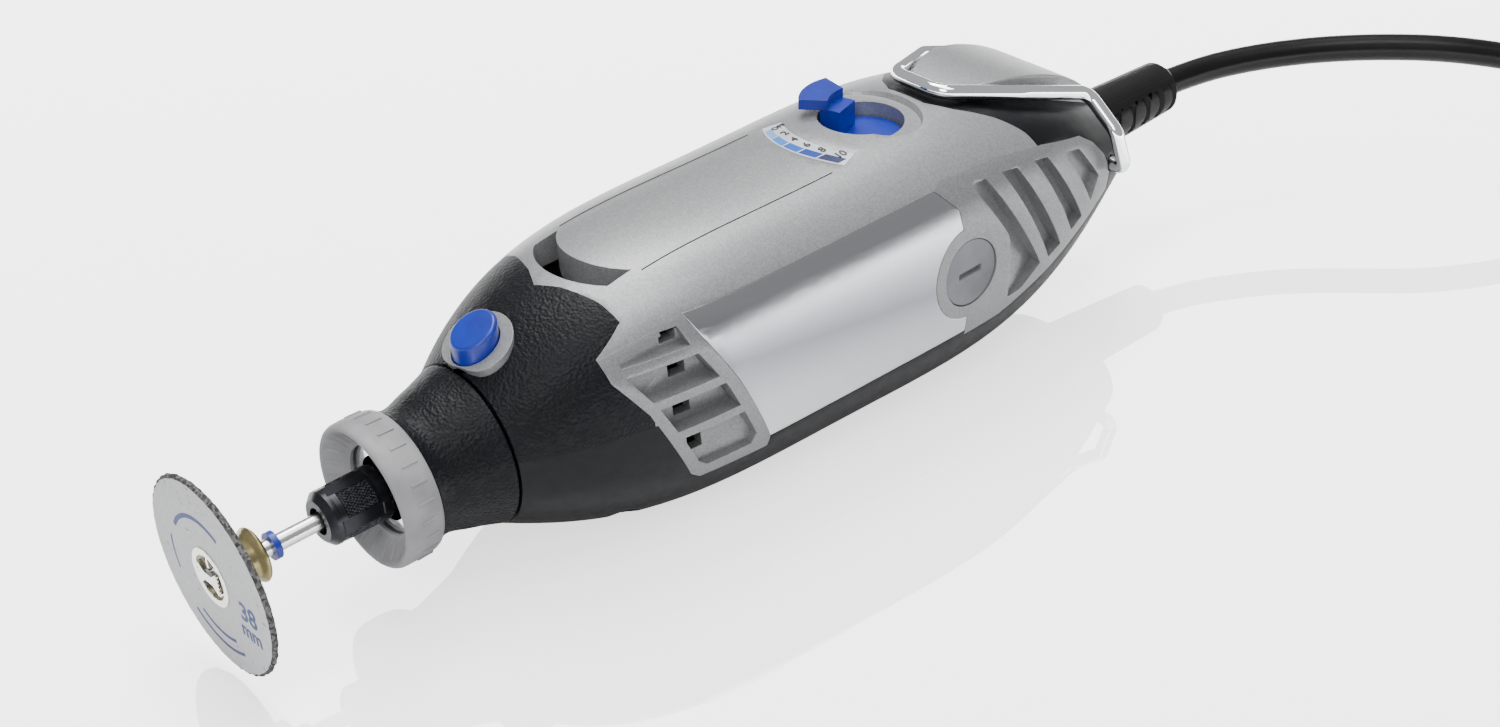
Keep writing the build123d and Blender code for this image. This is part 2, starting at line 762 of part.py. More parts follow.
# ---- spindle, bearings and motor -------------------------------------------------------------
def spindle():
    """Hollow spindle with a locking collar that has four cross holes."""
    with BuildPart() as shaft:
        add(turned(
            (25.0, 2.6), (25.0, SPINDLE_R), (36.0, SPINDLE_R), (36.0, 5.0), (50.0, 5.0), (50.0, 5.6),
            (61.0, 5.6), (61.0, 4.0), (71.0, 4.0), (71.0, 0), (33.0, 0), (33.0, 2.6),
        ))
        with BuildSketch(above(x=BUTTON_X, z=-6)):
            Circle(1.65)
        extrude(amount=12, mode=Mode.SUBTRACT)
        with BuildSketch(beside(x=BUTTON_X, y=6)):
            Circle(1.65)
        extrude(amount=12, mode=Mode.SUBTRACT)
    return finish(shaft.part, "spindle")


def ball_bearing(name, middle, width, bore, outside, balls):
    """Two grooved rings and a set of balls, as three pieces."""
    pitch = (bore + outside) / 2
    ball_r = (outside - bore) * 0.25
    land = (outside - bore) * 0.2
    half = width / 2
    groove = turned_ring(middle, pitch, ball_r + FIT)
    outer = tube(middle - half, middle + half, outside, outside - land) - groove
    inner = tube(middle - half, middle + half, bore + land, bore) - groove
    finish(outer, f"{name}_outer")
    finish(inner, f"{name}_inner")
    with BuildPart() as ball_set:
        with BuildSketch(across(middle - 0.4)):
            Circle(pitch + 0.5)
            Circle(pitch - 0.5, mode=Mode.SUBTRACT)
        extrude(amount=0.8)
        for step in range(balls):
            angle = 2 * math.pi * step / balls
            with Locations(place(middle, pitch * math.cos(angle), pitch * math.sin(angle))):
                Sphere(ball_r)
    finish(ball_set.part, f"{name}_balls")


def turned_ring(x, radius, section_r):
    """A round-section ring about the spindle."""
    with BuildPart() as ring:
        with BuildSketch(beside(x=x, z=radius)):
            Circle(section_r)
        revolve(axis=SPINDLE)
    return ring.part


def motor_coupling():
    """Coupling that joins the motor shaft to the back of the spindle."""
    return finish(tube(71.0, 76.0, 7.0), "motor_coupling")


FAN_X = 80.5
FAN_R = 18.5
FAN_BLADES = 11


def cooling_fan():
    """Fan with eleven swept blades on a back plate."""
    with BuildPart() as fan:
        add(tube(FAN_X + 6.7, FAN_X + 8.1, FAN_R, SHAFT_R))
        add(tube(FAN_X, FAN_X + 7.0, 6.0, SHAFT_R))
        with BuildSketch(across(FAN_X + 0.7)):
            with PolarLocations((FAN_R + 5.2) / 2, FAN_BLADES):
                Rectangle(FAN_R - 5.6, 1.0, rotation=14)
        extrude(amount=6.2)
    return finish(fan.part, "cooling_fan")


def rotor_shaft():
    return finish(tube(76.0, 178.0, SHAFT_R), "rotor_shaft")


def armature_core():
    """Slotted laminations."""
    with BuildPart() as core:
        with BuildSketch(across(CORE[0])):
            Circle(BORE_R - 0.5)
            Circle(SHAFT_R, mode=Mode.SUBTRACT)
            with PolarLocations(9.2, 12):
                Rectangle(4.0, 2.4, mode=Mode.SUBTRACT)
            with PolarLocations(11.8, 12):
                Rectangle(2.6, 1.0, mode=Mode.SUBTRACT)
        extrude(amount=CORE[1] - CORE[0])
    return finish(core.part, "armature_core")


def armature_winding():
    """Copper in the slots and the rounded end turns."""
    with BuildPart() as winding:
        for flat, end in ((CORE[0], CORE[0] - 7), (CORE[1], CORE[1] + 8)):
            lean = 2.0 if end < flat else -2.0
            add(turned((flat, SHAFT_R), (flat, 10.9), (end + lean, 10.9), (end, 8.9), (end, SHAFT_R)))
        with BuildSketch(across(CORE[0])):
            with PolarLocations(9.2, 12):
                Rectangle(3.9, 2.3)
        extrude(amount=CORE[1] - CORE[0])
    return finish(winding.part, "armature_winding")


def commutator():
    """Copper bars round a hub, split by fine slots, with a riser at the winding end."""
    with BuildPart() as bars:
        add(turned((142, SHAFT_R), (142, 10.2), (144, 10.2), (144, 9.0), (161, 9.0), (161, SHAFT_R)))
        with BuildSketch(across(141.9)):
            with PolarLocations(10.0, 24):
                Rectangle(3.6, 0.35)
        extrude(amount=19.2, mode=Mode.SUBTRACT)
    return finish(bars.part, "commutator")


def stator_core():
    """Round laminations with two poles and a coil slot on each side."""
    with BuildPart() as core:
        with BuildSketch(across(CORE[0])):
            Circle(STATOR_R)
            Circle(BORE_R, mode=Mode.SUBTRACT)
            Rectangle(34.8, 8.6, mode=Mode.SUBTRACT)
        extrude(amount=CORE[1] - CORE[0])
    return finish(core.part, "stator_core")


COIL_OVERHANG = 5.5
COIL_R = (13.3, 17.1)


def field_coils():
    """Two windings, each with straight sides in the slots and an arched end turn at each end."""
    with BuildPart() as coils:
        with BuildSketch(across(CORE[0] - COIL_OVERHANG)):
            Circle(COIL_R[1])
            Circle(COIL_R[0], mode=Mode.SUBTRACT)
            Rectangle(40, 0.4, mode=Mode.SUBTRACT)
        extrude(amount=CORE[1] - CORE[0] + 2 * COIL_OVERHANG)
        with BuildSketch(across(CORE[0] - 0.2)):
            with GridLocations(1, 2 * (4.1 + 20), 1, 2):
                Rectangle(44, 40)
        extrude(amount=CORE[1] - CORE[0] + 0.4, mode=Mode.SUBTRACT)
    return finish(coils.part, "field_coils")


BRUSH = (6.0, 5.0)
BRUSH_TIP_Y = 8.2
BRUSH_BACK_Y = 15.4
CAP_STUB_Y = 20.6
CAP_FACE_Y = 27.9


def brush_bar(side, length, height, near, far):
    """Rectangular bar on the brush axis."""
    with BuildPart() as bar:
        with BuildSketch(beside(x=BRUSH_X, y=side * near, z=BRUSH_Z)):
            Rectangle(length, height)
        extrude(amount=-side * (far - near))
    return bar.part


def brush_tube(side, name):
    """Brass guide around the carbon brush, with a round mouth at the housing wall."""
    guide = brush_bar(side, BRUSH[0] + 2.2, BRUSH[1] + 2.2, 11.5, CAP_STUB_Y - 0.2)
    guide = guide + (boss_round(side, 7.0, CAP_STUB_Y - 1.2, 30) & MOTOR_SPACE)
    guide = guide - brush_bar(side, BRUSH[0] + 0.3, BRUSH[1] + 0.3, 11.0, CAP_STUB_Y)
    return finish(guide - boss_round(side, 5.05, CAP_STUB_Y - 0.3, 31), name)


def carbon_brush(side, name):
    """Carbon block, its tip hollowed to the commutator."""
    block = brush_bar(side, *BRUSH, BRUSH_TIP_Y, BRUSH_BACK_Y) - tube(140, 165, 9.06)
    return finish(block, name)


def brush_cap(side, name):
    """Slotted screw cap with a stub that backs the brush spring."""
    with BuildPart() as cap:
        add(boss_round(side, 4.9, CAP_STUB_Y, 25.5))
        add(boss_round(side, BRUSH_CAP_R, 25.4, CAP_FACE_Y))
        add(brush_bar(side, 6.0, 1.3, CAP_FACE_Y - 1.1, CAP_FACE_Y + 1), mode=Mode.SUBTRACT)
    return finish(cap.part, name)


def control_board():
    """Speed control: board, potentiometer under the dial stem and a heat-sunk part."""
    with BuildPart() as board:
        with BuildSketch(above(x=DIAL_X - 1, z=13.0)):
            Rectangle(26, 22)
        extrude(amount=1.6)
        with BuildSketch(above(x=DIAL_X, z=14.6)):
            Circle(6.0)
        extrude(amount=2.4)
        with BuildSketch(above(x=DIAL_X - 9.5, z=14.6)):
            Rectangle(5, 12)
        extrude(amount=4.0)
        with BuildSketch(above(x=DIAL_X - 1, z=14.6)):
            with GridLocations(23, 19, 2, 2):
                Circle(1.5)
        extrude(amount=14)
        add(MOTOR_SPACE, mode=Mode.INTERSECT)
    return finish(board.part, "control_board")


def housing_screws():
    """Five pan-head screws driven up from the underside, as separate solids of one node."""
    with BuildPart() as screws:
        for x, y in SCREWS:
            with BuildSketch(above(x=x, y=y, z=SCREW_SEAT_Z - 2.0)):
                Circle(2.9)
            extrude(amount=2.0)
            with BuildSketch(above(x=x, y=y, z=SCREW_SEAT_Z)):
                Circle(SCREW_R)
            extrude(amount=SCREW_LENGTH)
            with BuildSketch(above(x=x, y=y, z=SCREW_SEAT_Z - 2.0)):
                Rectangle(3.4, 0.9)
                Rectangle(0.9, 3.4)
            extrude(amount=1.1, mode=Mode.SUBTRACT)
    return finish(screws.part, "housing_screws")


# ---- mains cord ---------------------------------------------------------------------------
CORD_R = 3.0
COIL_CENTRE = (276.0, -43.5)
COIL_RING = (24.0, 42.0)
COIL_Z = (0.6, 18.6)

# Control points of the cord behind the tool, from the strain relief to the coil.
CORD_ROUTE = [
    (131.4, -1.4, 28.84),
    (142.7, -5.8, 29.5),
    (155.7, -13.4, 29.9),
    (167.7, -24.2, 30.3),
    (179.0, -37.0, 30.1),
    (191.5, -50.5, 27.2),
    (205.0, -63.0, 21.0),
    (220.5, -72.6, 13.0),
    (238.5, -78.4, 6.6),
    (257.5, -80.2, 4.0),
    (269.5, -79.6, 3.8),
]


def cord_radii(points):
    """Bend radius at each inner point: 0.45 of the shorter run over the half turn's tangent."""
    radii = []
    for before, here, after in zip(points, points[1:], points[2:]):
        a, b = here - before, after - here
        half_turn = math.radians(a.get_angle(b)) / 2
        radii.append(0.45 * min(a.length, b.length) / math.tan(half_turn))
    return radii


def mains_cord():
    points = [place(RELIEF_END, 0, 0)] + [Vector(*point) for point in CORD_ROUTE]
    radii = cord_radii(points)
    print("cord bend radii", [round(r, 1) for r in radii])
    print("cord runs", [round((b - a).length, 1) for a, b in zip(points, points[1:])])
    with BuildPart() as cord:
        with BuildLine() as path:
            FilletPolyline(*points, radius=radii)
        with BuildSketch(across(RELIEF_END)):
            Circle(CORD_R)
        sweep()
    length = sum(edge.length for edge in path.edges())
    print("cord tube", round(length, 1), "mm, volume ratio",
          round(cord.part.volume / (math.pi * CORD_R**2 * length), 4))
    return finish(cord.part, "mains_cord")


def cord_coil():
    """Outer shape of the coiled spare cord."""
    with BuildPart() as coil:
        with BuildSketch(Plane.XY.offset(COIL_Z[0])):
            with Locations(COIL_CENTRE):
                Circle(COIL_RING[1])
                Circle(COIL_RING[0], mode=Mode.SUBTRACT)
        extrude(amount=COIL_Z[1] - COIL_Z[0])
        fillet(coil.edges().filter_by(GeomType.CIRCLE), CORD_R - 0.2)
    return finish(coil.part, "cord_coil")


def cord_tie():
    """Strap round the coil's turns."""
    width, thick = 10.0, 0.6
    inside = COIL_RING[0] - 0.7
    middle = (inside + COIL_RING[1] + 0.1) / 2
    across_turns = COIL_RING[1] + 0.1 - inside
    height = COIL_Z[1] - COIL_Z[0] + 0.1
    centre_z = (COIL_Z[0] + COIL_Z[1]) / 2
    with BuildPart() as tie:
        with BuildSketch(Plane.YZ.offset(COIL_CENTRE[0] - width / 2)):
            with Locations((COIL_CENTRE[1] + middle, centre_z)):
                RectangleRounded(across_turns + 2 * thick, height + 2 * thick - 0.1, 3.3)
                RectangleRounded(across_turns, height - 0.05, 2.8, mode=Mode.SUBTRACT)
        extrude(amount=width)
    return finish(tie.part, "cord_tie")


PLUG_PIN_R = 2.0
PLUG_PIN_GAP = 19.0
PLUG_HEIGHT = 12.0
PLUG_HALF_LENGTH = 18.0
ON_COIL = Location((282.0, -67.5, COIL_Z[1]), (0, 0, -90))


def mains_plug():
    """Flat two-pin plug body lying on the coil, its tail toward the last turn."""
    with BuildPart() as plug:
        with BuildSketch():
            with BuildLine():
                Polyline(
                    (-4.5, -PLUG_HALF_LENGTH), (4.5, -PLUG_HALF_LENGTH), (8.5, -8), (17.6, 0),
                    (17.6, PLUG_HALF_LENGTH), (-17.6, PLUG_HALF_LENGTH), (-17.6, 0), (-8.5, -8),
                    close=True,
                )
            make_face()
        extrude(amount=PLUG_HEIGHT)
        fillet(plug.edges().filter_by(Axis.Z), 1.5)
    return finish(plug.part.moved(ON_COIL), "mains_plug")


def plug_pins():
    """Two round pins, as separate solids of one node."""
    with BuildPart() as pins:
        for offset_x in (-PLUG_PIN_GAP / 2, PLUG_PIN_GAP / 2):
            with BuildSketch(Plane(origin=(offset_x, PLUG_HALF_LENGTH, PLUG_HEIGHT / 2), z_dir=(0, 1, 0))):
                Circle(PLUG_PIN_R)
            extrude(amount=17.5)
    return finish(pins.part.moved(ON_COIL), "plug_pins")


# ---- build ---------------------------------------------------------------------------------
cutting_disc()
disc_hub()
mandrel()
release_sleeve()
mandrel_ring()
coil_spring("mandrel_spring", across(3.35), 4.8, 2.3, 0.28, 4)
collet()
collet_nut()
nose_cap()
nose_insert()
nose_collar()
for side, word in ((-1, "left"), (1, "right")):
    vent_panel(side, f"vent_panel_{word}")
    nameplate(side, f"nameplate_{word}")
    rear_panel(side, f"rear_panel_{word}")
    brush_tube(side, f"brush_tube_{word}")
    carbon_brush(side, f"carbon_brush_{word}")
    brush_cap(side, f"brush_cap_{word}")
    coil_spring(
        f"brush_spring_{word}",
        Plane(origin=place(BRUSH_X, side * (BRUSH_BACK_Y + 0.3), BRUSH_Z), z_dir=(0, side, 0)),
        CAP_STUB_Y - BRUSH_BACK_Y - 0.6, 1.9, 0.25, 4,
    )
grip_upper()
button_bezel()
upper_shell()
lower_shell()
tail_cap()
tail_dome()
hanger_bail()
strain_relief()
speed_dial()
speed_label()
lock_button()
lock_pin()
coil_spring("lock_spring", above(x=BUTTON_X, z=9.9), 5.8, 2.6, 0.35, 4)
spindle()
ball_bearing("front_bearing", 65.0, 7.0, 4.0, FRONT_SPACE_R, 8)
motor_coupling()
cooling_fan()
rotor_shaft()
armature_core()
armature_winding()
commutator()
stator_core()
field_coils()
ball_bearing("rear_bearing", 169.0, 5.0, SHAFT_R, REAR_BEARING_R, 7)
control_board()
housing_screws()
mains_cord()
cord_coil()
cord_tie()
mains_plug()
plug_pins()
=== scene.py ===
"""Looks of the rotary hobby tool: camera, cord, materials and the detailed pieces."""
import json
import math
import random

import bmesh
import bpy
from mathutils import Matrix, Vector
from mathutils.bvhtree import BVHTree


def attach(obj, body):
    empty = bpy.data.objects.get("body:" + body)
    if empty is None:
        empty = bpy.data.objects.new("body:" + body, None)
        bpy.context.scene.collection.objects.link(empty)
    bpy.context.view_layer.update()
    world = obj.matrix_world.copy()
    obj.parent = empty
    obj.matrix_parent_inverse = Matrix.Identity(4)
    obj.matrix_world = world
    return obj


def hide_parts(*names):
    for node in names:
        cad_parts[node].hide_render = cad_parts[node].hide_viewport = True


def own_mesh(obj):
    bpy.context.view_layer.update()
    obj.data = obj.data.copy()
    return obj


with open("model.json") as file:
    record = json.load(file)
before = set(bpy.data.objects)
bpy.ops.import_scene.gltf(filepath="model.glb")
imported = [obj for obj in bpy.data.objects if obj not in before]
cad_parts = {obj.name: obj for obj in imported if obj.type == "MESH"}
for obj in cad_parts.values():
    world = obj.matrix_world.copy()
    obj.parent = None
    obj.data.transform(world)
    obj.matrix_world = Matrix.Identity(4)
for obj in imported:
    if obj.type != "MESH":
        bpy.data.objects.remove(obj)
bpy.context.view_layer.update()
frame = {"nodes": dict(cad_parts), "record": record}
NODES = frame["nodes"]

# ---- the tool's own axes: x back along the spindle from the disc, y sideways, z up, in mm ----
TILT = math.radians(1.8)
AXIS_HEIGHT = 20.7
HALF_LENGTH = 121.2
TOOL = Matrix.Translation((-HALF_LENGTH / 1000, 0, AXIS_HEIGHT / 1000)) @ Matrix.Rotation(-TILT, 4, "Y")


def at(x, y, z):
    """A point of the tool in the row frame, in metres."""
    return TOOL @ Vector((x / 1000, y / 1000, z / 1000))


# ---- camera, placed in the tool's own axes so that its picture frames the tool as the photograph does ----
CAMERA_ELEVATION = math.radians(33.04)
CAMERA_TURN = math.radians(-39.15)
CAMERA_ROLL = math.radians(-4.36)
CAMERA_PLACE = (-0.1219, -0.2964, 0.2339)
SENSOR_WIDTH = 36
FOCAL_LENGTH = 55.2
NEAREST_SEEN = 0.01


def add_camera():
    elevation, turn, roll = CAMERA_ELEVATION, CAMERA_TURN, CAMERA_ROLL
    look = Vector((-math.sin(turn) * math.cos(elevation), math.cos(turn) * math.cos(elevation),
                   -math.sin(elevation)))
    flat = Vector((math.cos(turn), math.sin(turn), 0))
    up = flat.cross(look)
    right = math.cos(roll) * flat + math.sin(roll) * up
    top = -math.sin(roll) * flat + math.cos(roll) * up
    data = bpy.data.cameras.new("camera")
    data.sensor_width = SENSOR_WIDTH
    data.lens = FOCAL_LENGTH
    data.clip_start = NEAREST_SEEN
    camera = bpy.data.objects.new("camera", data)
    bpy.context.collection.objects.link(camera)
    axes = Matrix((right, top, -look)).transposed().to_4x4()
    camera.matrix_world = TOOL @ Matrix.Translation(Vector(CAMERA_PLACE)) @ axes
    bpy.context.scene.camera = camera


add_camera()


# ---- materials -----------------------------------------------------------------------------------
class Look:
    """A small builder for one procedural material."""

    def __init__(self, name, color, rough, metal=0.0, **sockets):
        self.mat = bpy.data.materials.new(name)
        self.mat.use_nodes = True
        self.tree = self.mat.node_tree
        self.nodes = self.tree.nodes
        self.shader = self.nodes["Principled BSDF"]
        self.shader.inputs["Base Color"].default_value = (*color, 1)
        self.shader.inputs["Roughness"].default_value = rough
        self.shader.inputs["Metallic"].default_value = metal
        for key, value in sockets.items():
            self.shader.inputs[key.replace("_", " ")].default_value = value
        self.coords = self.nodes.new("ShaderNodeTexCoord").outputs["Object"]
        self.normal = None

    def link(self, a, b):
        self.tree.links.new(a, b)

    def stretched(self, scale):
        node = self.nodes.new("ShaderNodeMapping")
        node.inputs["Scale"].default_value = scale
        self.link(self.coords, node.inputs["Vector"])
        return node.outputs["Vector"]

    def noise(self, scale, detail=3.0, coords=None):
        node = self.nodes.new("ShaderNodeTexNoise")
        node.inputs["Scale"].default_value = scale
        node.inputs["Detail"].default_value = detail
        self.link(coords or self.coords, node.inputs["Vector"])
        return node.outputs["Fac"]

    def cells(self, scale, feature="F1", out="Distance"):
        node = self.nodes.new("ShaderNodeTexVoronoi")
        node.feature = feature
        node.inputs["Scale"].default_value = scale
        self.link(self.coords, node.inputs["Vector"])
        return node.outputs[out]

    def ramp(self, value, *stops):
        node = self.nodes.new("ShaderNodeValToRGB")
        ramp = node.color_ramp
        while len(ramp.elements) < len(stops):
            ramp.elements.new(0.5)
        for element, (place, color) in zip(ramp.elements, stops):
            element.position = place
            element.color = (*color, 1)
        self.link(value, node.inputs["Fac"])
        return node.outputs["Color"]

    def graded(self, direction, low, high):
        """0 to 1 along a direction, between two distances in metres."""
        dot = self.nodes.new("ShaderNodeVectorMath")
        dot.operation = "DOT_PRODUCT"
        dot.inputs[1].default_value = direction
        self.link(self.coords, dot.inputs[0])
        node = self.nodes.new("ShaderNodeMapRange")
        node.inputs["From Min"].default_value = low
        node.inputs["From Max"].default_value = high
        self.link(dot.outputs["Value"], node.inputs["Value"])
        return node.outputs["Result"]

    def span(self, value, low, high):
        """A value of 0 to 1 spread over low to high."""
        node = self.nodes.new("ShaderNodeMapRange")
        node.inputs["To Min"].default_value = low
        node.inputs["To Max"].default_value = high
        self.link(value, node.inputs["Value"])
        return node.outputs["Result"]

    def color(self, socket):
        self.link(socket, self.shader.inputs["Base Color"])
        return self

    def rough(self, value, low, high):
        self.link(self.span(value, low, high), self.shader.inputs["Roughness"])
        return self

    def bump(self, value, strength, depth):
        node = self.nodes.new("ShaderNodeBump")
        node.inputs["Strength"].default_value = strength
        node.inputs["Distance"].default_value = depth
        self.link(value, node.inputs["Height"])
        if self.normal:
            self.link(self.normal, node.inputs["Normal"])
        self.normal = node.outputs["Normal"]
        self.link(self.normal, self.shader.inputs["Normal"])
        return self


def tones(color, spread):
    """Darker and lighter versions of one colour."""
    return tuple(c * (1 - spread) for c in color), tuple(min(1, c * (1 + spread)) for c in color)


def silver_plastic(name="silver", tone=0.30):
    base = (tone, tone * 1.015, tone * 1.04)
    look = Look(name, base, 0.42, 0.45)
    flake = look.cells(3600, out="Color")
    dark, light = tones(base, 0.16)
    look.color(look.ramp(flake, (0.1, dark), (0.5, base), (0.93, light)))
    look.rough(look.noise(1800), 0.34, 0.5)
    look.bump(look.noise(2600, 2), 0.10, 0.00006)
    return look.mat


def leather_rubber():
    base = (0.0022, 0.0028, 0.0045)
    look = Look("leather_rubber", base, 0.44, Specular_IOR_Level=0.2)
    look.color(look.ramp(look.noise(90), (0.3, tones(base, 0.25)[0]), (0.7, tones(base, 0.3)[1])))
    look.rough(look.noise(700), 0.40, 0.56)
    look.bump(look.cells(1900, "SMOOTH_F1"), 0.8, 0.00022)
    look.bump(look.noise(900, 2), 0.2, 0.0001)
    return look.mat


def fine_black(name, base, rough=0.5, scale=2600, strength=0.25, sheen=0.2):
    look = Look(name, base, rough, Specular_IOR_Level=sheen)
    look.color(look.ramp(look.noise(120), (0.3, tones(base, 0.2)[0]), (0.7, tones(base, 0.25)[1])))
    look.rough(look.noise(400), rough - 0.07, rough + 0.07)
    look.bump(look.noise(scale, 2), strength, 0.0001)
    return look.mat


def brushed_metal(name, base, rough, along, strength=0.12):
    look = Look(name, base, rough, 1.0)
    grain = look.noise(1.0, 3, look.stretched(along))
    dark, light = tones(base, 0.07)
    look.color(look.ramp(grain, (0.35, dark), (0.65, light)))
    look.rough(grain, rough - 0.05, rough + 0.08)
    look.bump(grain, strength, 0.00003)
    return look.mat


def polished(name, base, rough):
    look = Look(name, base, rough, 1.0)
    look.rough(look.noise(300), rough * 0.7, rough * 1.5)
    look.bump(look.noise(160), 0.03, 0.0001)
    return look.mat


def blue_plastic():
    base = (0.004, 0.022, 0.33)
    look = Look("blue_plastic", base, 0.33)
    look.color(look.ramp(look.noise(250), (0.3, tones(base, 0.15)[0]), (0.7, tones(base, 0.15)[1])))
    look.rough(look.noise(900), 0.27, 0.42)
    look.bump(look.noise(1500, 2), 0.14, 0.0001)
    return look.mat


def disc_face():
    base = (0.66, 0.67, 0.69)
    look = Look("disc_face", base, 0.62)
    grit = look.cells(1500, out="Color")
    look.color(look.ramp(grit, (0.02, (0.36, 0.36, 0.38)), (0.14, base), (0.9, (0.74, 0.75, 0.76))))
    look.bump(look.noise(1400, 4), 0.45, 0.0002)
    return look.mat


def disc_rim():
    base = (0.075, 0.073, 0.075)
    look = Look("disc_rim", base, 0.8)
    grit = look.cells(1900, out="Color")
    look.color(look.ramp(grit, (0.3, (0.03, 0.03, 0.03)), (0.85, (0.20, 0.19, 0.19))))
    look.bump(look.noise(1500, 5), 0.9, 0.0005)
    return look.mat


def nameplate_with_painted_sheen():
    """Satin metal with a painted highlight that pales it toward its lower edge and a soft painted dark
    reflection band across the top.
    """
    look = Look("nameplate", (0.50, 0.51, 0.53), 0.24, 1.0)
    grain = look.noise(1.0, 3, look.stretched((40, 40, 3000)))
    # painted light: this ramp over height paints a highlight low on the plate and a dark reflection band
    # higher up
    look.color(look.ramp(
        look.graded((0.10, 0, 1.0), 0.006, 0.042), (0.05, (0.72, 0.73, 0.74)), (0.40, (0.42, 0.43, 0.45)),
        (0.66, (0.20, 0.21, 0.23)), (0.95, (0.40, 0.41, 0.43)),
    ))
    look.rough(grain, 0.20, 0.30)
    look.bump(grain, 0.05, 0.00002)
    return look.mat


def copper_wire():
    look = Look("copper", (0.55, 0.24, 0.11), 0.35, 0.9)
    look.bump(look.noise(1.0, 2, look.stretched((2500, 300, 300))), 0.5, 0.0003)
    return look.mat


def print_ink(name, color, rough=0.5):
    look = Look(name, color, rough)
    look.rough(look.noise(800), rough - 0.06, rough + 0.06)
    return look.mat


SILVER = silver_plastic()
PANEL_GREY = silver_plastic("panel_grey", 0.25)
CAP_GREY = fine_black("cap_grey", (0.30, 0.30, 0.31), 0.5, 1500, 0.5)
LEATHER = leather_rubber()
CHARCOAL = fine_black("charcoal", (0.0026, 0.0032, 0.0048), 0.42)
CORD_BLACK = fine_black("cord_black", (0.0045, 0.0045, 0.005), 0.34, 900, 0.1)
RELIEF_BLACK = fine_black("relief_black", (0.006, 0.006, 0.0065), 0.46, 1500, 0.3)
PLATE = nameplate_with_painted_sheen()
STEEL = brushed_metal("steel", (0.66, 0.66, 0.67), 0.25, (30, 1500, 1500))
NUT_BLACK = brushed_metal("black_oxide", (0.035, 0.035, 0.04), 0.34, (300, 900, 900), 0.3)
CHROME = polished("chrome", (0.86, 0.88, 0.90), 0.07)
NICKEL = polished("nickel", (0.80, 0.79, 0.75), 0.16)
OLIVE = brushed_metal("olive_gold", (0.26, 0.22, 0.105), 0.32, (30, 900, 900))
BLUE = blue_plastic()
DISC = disc_face()
RIM = disc_rim()
COPPER = copper_wire()
BRASS = brushed_metal("brass", (0.70, 0.52, 0.24), 0.3, (200, 900, 900))
IRON = brushed_metal("lamination", (0.22, 0.22, 0.24), 0.42, (4500, 60, 60), 0.5)
CARBON = fine_black("carbon", (0.02, 0.02, 0.02), 0.6, 1500, 0.4)
DARK_PLASTIC = fine_black("dark_plastic", (0.03, 0.031, 0.034), 0.4)
BOARD = fine_black("board_green", (0.02, 0.12, 0.05), 0.4, 700, 0.2)
CAP_DISC = fine_black("brush_cap_grey", (0.22, 0.225, 0.24), 0.55, 1800, 0.4)
LABEL = fine_black("label_face", (0.60, 0.62, 0.65), 0.3, 900, 0.05)
INK_DARK = print_ink("ink_dark", (0.02, 0.022, 0.03))
INK_BLUE = print_ink("ink_blue", (0.025, 0.055, 0.22))

LOOKS = {
    "cutting_disc": DISC, "disc_hub": NICKEL, "mandrel": STEEL, "release_sleeve": OLIVE,
    "mandrel_ring": BLUE, "mandrel_spring": STEEL, "collet": STEEL, "collet_nut": NUT_BLACK,
    "nose_cap": CAP_GREY, "nose_insert": CHROME, "nose_collar": LEATHER, "grip_upper": LEATHER,
    "button_bezel": SILVER, "upper_shell": SILVER, "lower_shell": CHARCOAL, "tail_cap": CHARCOAL,
    "tail_dome": SILVER, "hanger_bail": CHROME, "strain_relief": RELIEF_BLACK,
    "speed_dial": BLUE, "speed_label": LABEL, "lock_button": BLUE, "lock_pin": STEEL,
    "lock_spring": STEEL, "spindle": STEEL, "motor_coupling": DARK_PLASTIC,
    "cooling_fan": DARK_PLASTIC, "rotor_shaft": STEEL, "armature_core": IRON,
    "armature_winding": COPPER, "commutator": COPPER, "stator_core": IRON, "field_coils": COPPER,
    "control_board": BOARD, "housing_screws": STEEL, "cord_tie": DARK_PLASTIC,
    "mains_plug": CORD_BLACK, "plug_pins": NICKEL, "mains_cord": CORD_BLACK, "cord_coil": CORD_BLACK,
}
for side in ("left", "right"):
    LOOKS["vent_panel_" + side] = PANEL_GREY
    LOOKS["rear_panel_" + side] = PANEL_GREY
    LOOKS["nameplate_" + side] = PLATE
    LOOKS["brush_tube_" + side] = BRASS
    LOOKS["carbon_brush_" + side] = CARBON
    LOOKS["brush_cap_" + side] = CAP_DISC
    LOOKS["brush_spring_" + side] = STEEL
for end in ("front", "rear"):
    for ring in ("outer", "inner", "balls"):
        LOOKS[f"{end}_bearing_{ring}"] = STEEL


def dress(thing, look):
    thing.data.materials.clear()
    thing.data.materials.append(look)


def body_of(node):
    for name, members in frame["record"]["behaviour"]["bodies"].items():
        if node in members:
            return name
    raise KeyError(node)


def add_piece(name, mesh, look, body):
    piece = bpy.data.objects.new(name, mesh)
    bpy.context.collection.objects.link(piece)
    dress(piece, look)
    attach(piece, body)
    return piece


WELD = 1e-6
FLAT_ENOUGH = math.radians(0.5)
SHARP_EDGE = math.radians(32)
ROUNDED_EDGE = math.radians(40)


